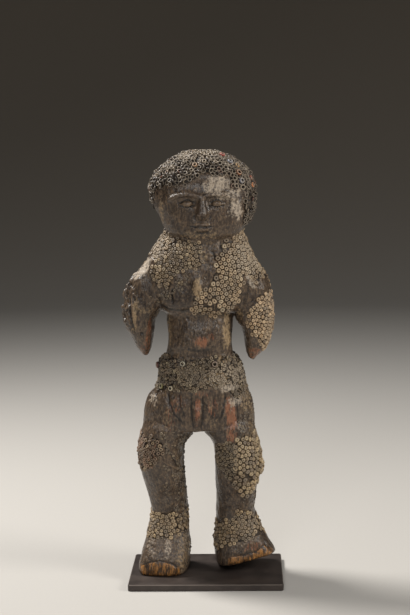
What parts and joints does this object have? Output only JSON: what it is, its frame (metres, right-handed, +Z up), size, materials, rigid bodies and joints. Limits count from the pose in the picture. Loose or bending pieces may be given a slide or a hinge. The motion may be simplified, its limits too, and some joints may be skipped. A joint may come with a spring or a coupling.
{
  "type": "carved figure on base plate",
  "caption": "Standing carved wooden figure with a bonded crust of beads, short arms and splayed feet, on a thin metal plate.",
  "frame": {"origin": "centre of the base plate's underside", "axes": "+Z up, the figure faces -Y, +X is the viewer's right"},
  "size_m": [0.1711, 0.115, 0.464],
  "materials": {
    "carved_wood": "dark worn patina with a dull sheen, dust in the hollows",
    "plate_metal": "black, satin",
    "red_glass": "opaque, worn",
    "grey_blue_glass": "opaque, worn",
    "amber_glass": "opaque, worn",
    "maroon_glass": "opaque, dull",
    "ochre_glass": "opaque, dusty",
    "olive_glass": "opaque, dusty"
  },
  "bodies": {
    "root": {"figure": "carved_wood", "base_plate": "plate_metal", "bead_red_crown": "red_glass", "bead_grey_blue_crown": "grey_blue_glass", "bead_yellow_brow": "amber_glass", "bead_amber_ring": "amber_glass", "bead_grey_blue_temple": "grey_blue_glass", "bead_red_temple": "red_glass", "bead_orange_temple": "amber_glass", "bead_amber_forehead": "amber_glass", "bead_maroon_hip": "maroon_glass", "bead_grey_waist": "ochre_glass", "bead_maroon_waist": "maroon_glass", "bead_olive_ring": "olive_glass", "bead_pale_waist": "ochre_glass", "bead_maroon_knee": "maroon_glass"}
  },
  "joints": []
}
